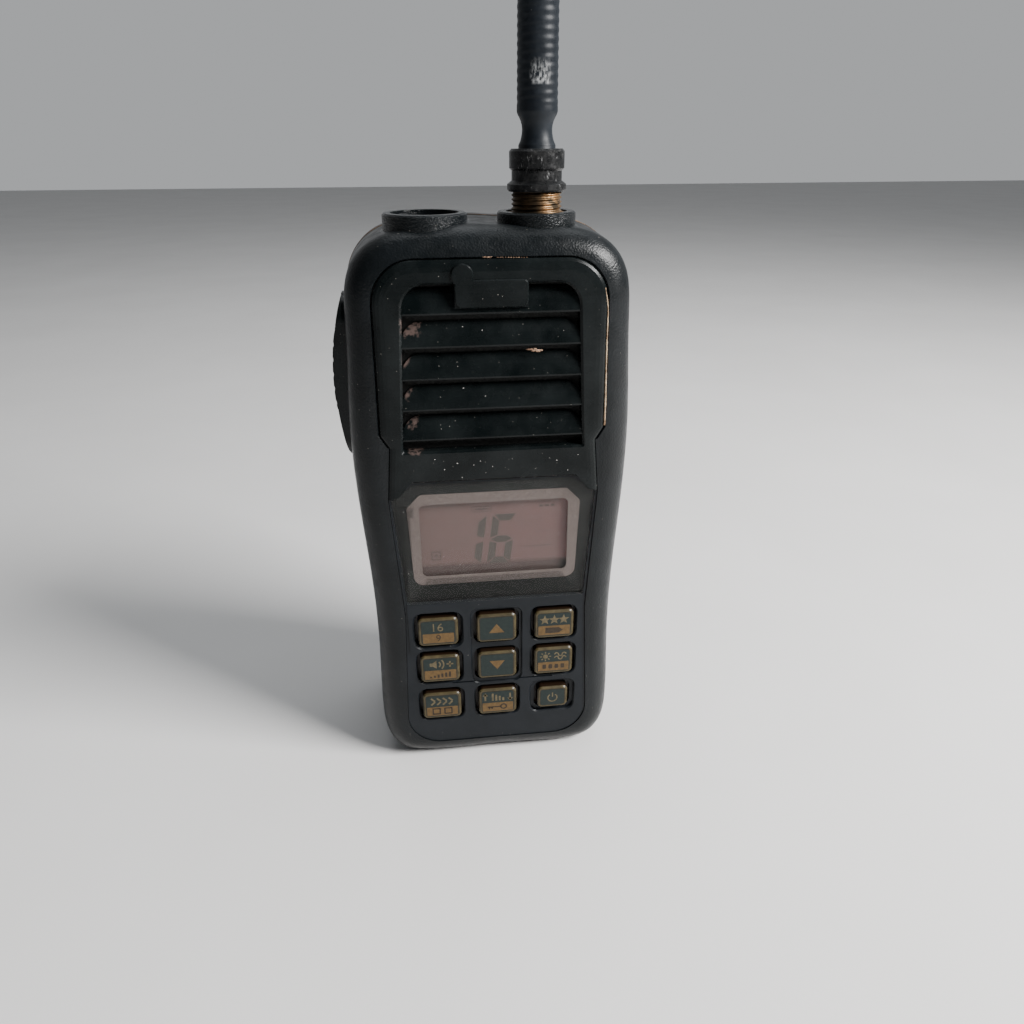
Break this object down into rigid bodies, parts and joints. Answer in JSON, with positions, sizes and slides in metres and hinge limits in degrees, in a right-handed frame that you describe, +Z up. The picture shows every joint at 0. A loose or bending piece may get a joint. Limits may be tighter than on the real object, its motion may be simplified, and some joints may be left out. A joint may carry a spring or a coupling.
{
  "type": "handheld two-way radio",
  "caption": "Compact handheld marine-band two-way radio: louvred loudspeaker grille, display, key block, side talk button, screw-on whip antenna and rear battery pack.",
  "frame": {"origin": "middle of the flat base, on the surface that the radio stands on", "axes": "+X to the right of someone facing the display, +Y to the back (battery side), +Z up along the antenna"},
  "size_m": [0.0687, 0.043, 0.291],
  "materials": {
    "case_black": "fine pebble texture, worn satin on the edges",
    "cover_black": "fine pebble texture",
    "panel_black": "worn semi-gloss",
    "fascia_black": "smooth matt",
    "seal_tan": "soft, dusty",
    "lens_clear": "clear window",
    "mask_dark": "printed film",
    "border_grey": "printed light grey",
    "lcd_rose": "reflective display, rose-grey",
    "guide_white": "milky",
    "holder_white": "moulded",
    "key_amber": "translucent amber",
    "rubber_black": "satin",
    "board_green": "solder mask",
    "tin": "tinned",
    "chassis_alloy": "die cast",
    "screw_steel": "zinc plated",
    "cloth_black": "woven",
    "foam_grey": "closed-cell foam",
    "magnet_dark": "ferrite",
    "basket_black": "moulded",
    "cone_paper": "paper",
    "brass": "tarnished, brown in the thread",
    "nut_black": "worn black",
    "whip_black": "satin, dusty",
    "copper": "wire",
    "gold": "plated",
    "cell_blue": "shrink wrap"
  },
  "bodies": {
    "radio": {"front_case": "case_black", "case_seal": "seal_tan", "rear_cover": "cover_black", "case_screws": "screw_steel", "grille_panel": "panel_black", "name_tab": "panel_black", "fascia_panel": "fascia_black", "display_window": "lens_clear", "window_mask": "mask_dark", "window_border": "border_grey", "lcd_glass": "lcd_rose", "light_guide": "guide_white", "lcd_holder": "holder_white", "keypad_mat": "rubber_black", "snap_domes": "tin", "main_board": "board_green", "logic_shield": "tin", "chassis": "chassis_alloy", "rf_board": "board_green", "rf_shield": "tin", "board_screws": "screw_steel", "speaker_cloth": "cloth_black", "speaker_seal": "foam_grey", "speaker_frame": "basket_black", "speaker_magnet": "magnet_dark", "speaker_clamp": "screw_steel", "microphone": "tin", "microphone_boot": "rubber_black", "ptt_bezel": "panel_black", "ptt_switch": "basket_black", "jack_body": "basket_black", "antenna_socket": "brass", "antenna_washer": "rubber_black", "antenna_back_nut": "brass", "contact_block": "basket_black", "contact_strips": "gold"},
    "key_channel_16": {"key_channel_16": "key_amber"},
    "key_up": {"key_up": "key_amber"},
    "key_favourite": {"key_favourite": "key_amber"},
    "key_volume": {"key_volume": "key_amber"},
    "key_down": {"key_down": "key_amber"},
    "key_channel_mode": {"key_channel_mode": "key_amber"},
    "key_scan": {"key_scan": "key_amber"},
    "key_power_level": {"key_power_level": "key_amber"},
    "key_power": {"key_power": "key_amber"},
    "ptt_button": {"ptt_button": "rubber_black"},
    "speaker_cone": {"speaker_cone": "cone_paper"},
    "antenna_whip": {"whip_sleeve": "whip_black", "whip_core": "copper", "whip_pin": "gold"},
    "antenna_nut": {"coupling_nut": "nut_black"},
    "battery_pack": {"battery_case": "cover_black", "battery_lid": "cover_black", "battery_terminals": "gold", "protection_board": "board_green", "battery_cells": "cell_blue", "float_foam": "foam_grey", "clip_inserts": "brass"},
    "battery_latch": {"battery_latch": "rubber_black"}
  },
  "joints": [
    {"name": "key_channel_16_press", "type": "slide", "parent": "radio", "child": "key_channel_16", "axis": [0, 1, 0], "range_m": [0, 0.0005], "stiffness_N_per_m": 1500},
    {"name": "key_up_press", "type": "slide", "parent": "radio", "child": "key_up", "axis": [0, 1, 0], "range_m": [0, 0.0005], "stiffness_N_per_m": 1500},
    {"name": "key_favourite_press", "type": "slide", "parent": "radio", "child": "key_favourite", "axis": [0, 1, 0], "range_m": [0, 0.0005], "stiffness_N_per_m": 1500},
    {"name": "key_volume_press", "type": "slide", "parent": "radio", "child": "key_volume", "axis": [0, 1, 0], "range_m": [0, 0.0005], "stiffness_N_per_m": 1500},
    {"name": "key_down_press", "type": "slide", "parent": "radio", "child": "key_down", "axis": [0, 1, 0], "range_m": [0, 0.0005], "stiffness_N_per_m": 1500},
    {"name": "key_channel_mode_press", "type": "slide", "parent": "radio", "child": "key_channel_mode", "axis": [0, 1, 0], "range_m": [0, 0.0005], "stiffness_N_per_m": 1500},
    {"name": "key_scan_press", "type": "slide", "parent": "radio", "child": "key_scan", "axis": [0, 1, 0], "range_m": [0, 0.0005], "stiffness_N_per_m": 1500},
    {"name": "key_power_level_press", "type": "slide", "parent": "radio", "child": "key_power_level", "axis": [0, 1, 0], "range_m": [0, 0.0005], "stiffness_N_per_m": 1500},
    {"name": "key_power_press", "type": "slide", "parent": "radio", "child": "key_power", "axis": [0, 1, 0], "range_m": [0, 0.0005], "stiffness_N_per_m": 1500},
    {"name": "ptt_press", "type": "slide", "parent": "radio", "child": "ptt_button", "axis": [1, 0, 0], "range_m": [0, 0.001], "stiffness_N_per_m": 2500},
    {"name": "speaker_travel", "type": "slide", "parent": "radio", "child": "speaker_cone", "axis": [0, 1, 0], "range_m": [-0.0004, 0.0004], "stiffness_N_per_m": 1500},
    {"name": "antenna_lift", "type": "slide", "parent": "radio", "child": "antenna_whip", "axis": [0, 0, 1], "range_m": [0, 0.0059]},
    {"name": "coupling_nut_spin", "type": "hinge", "parent": "antenna_whip", "child": "antenna_nut", "pos_m": [0.0111, -0.0085, 0.1495], "axis": [0, 0, 1], "range_deg": [0, 2345]},
    {"name": "battery_release", "type": "slide", "parent": "radio", "child": "battery_pack", "axis": [0, 1, 0], "range_m": [0, 0.025]},
    {"name": "battery_latch_slide", "type": "slide", "parent": "battery_pack", "child": "battery_latch", "axis": [0, 0, -1], "range_m": [0, 0.0025], "stiffness_N_per_m": 400}
  ],
  "couplings": [
    {"joint": "coupling_nut_spin", "follows": "antenna_lift", "rad_per_m": 6927.4}
  ]
}
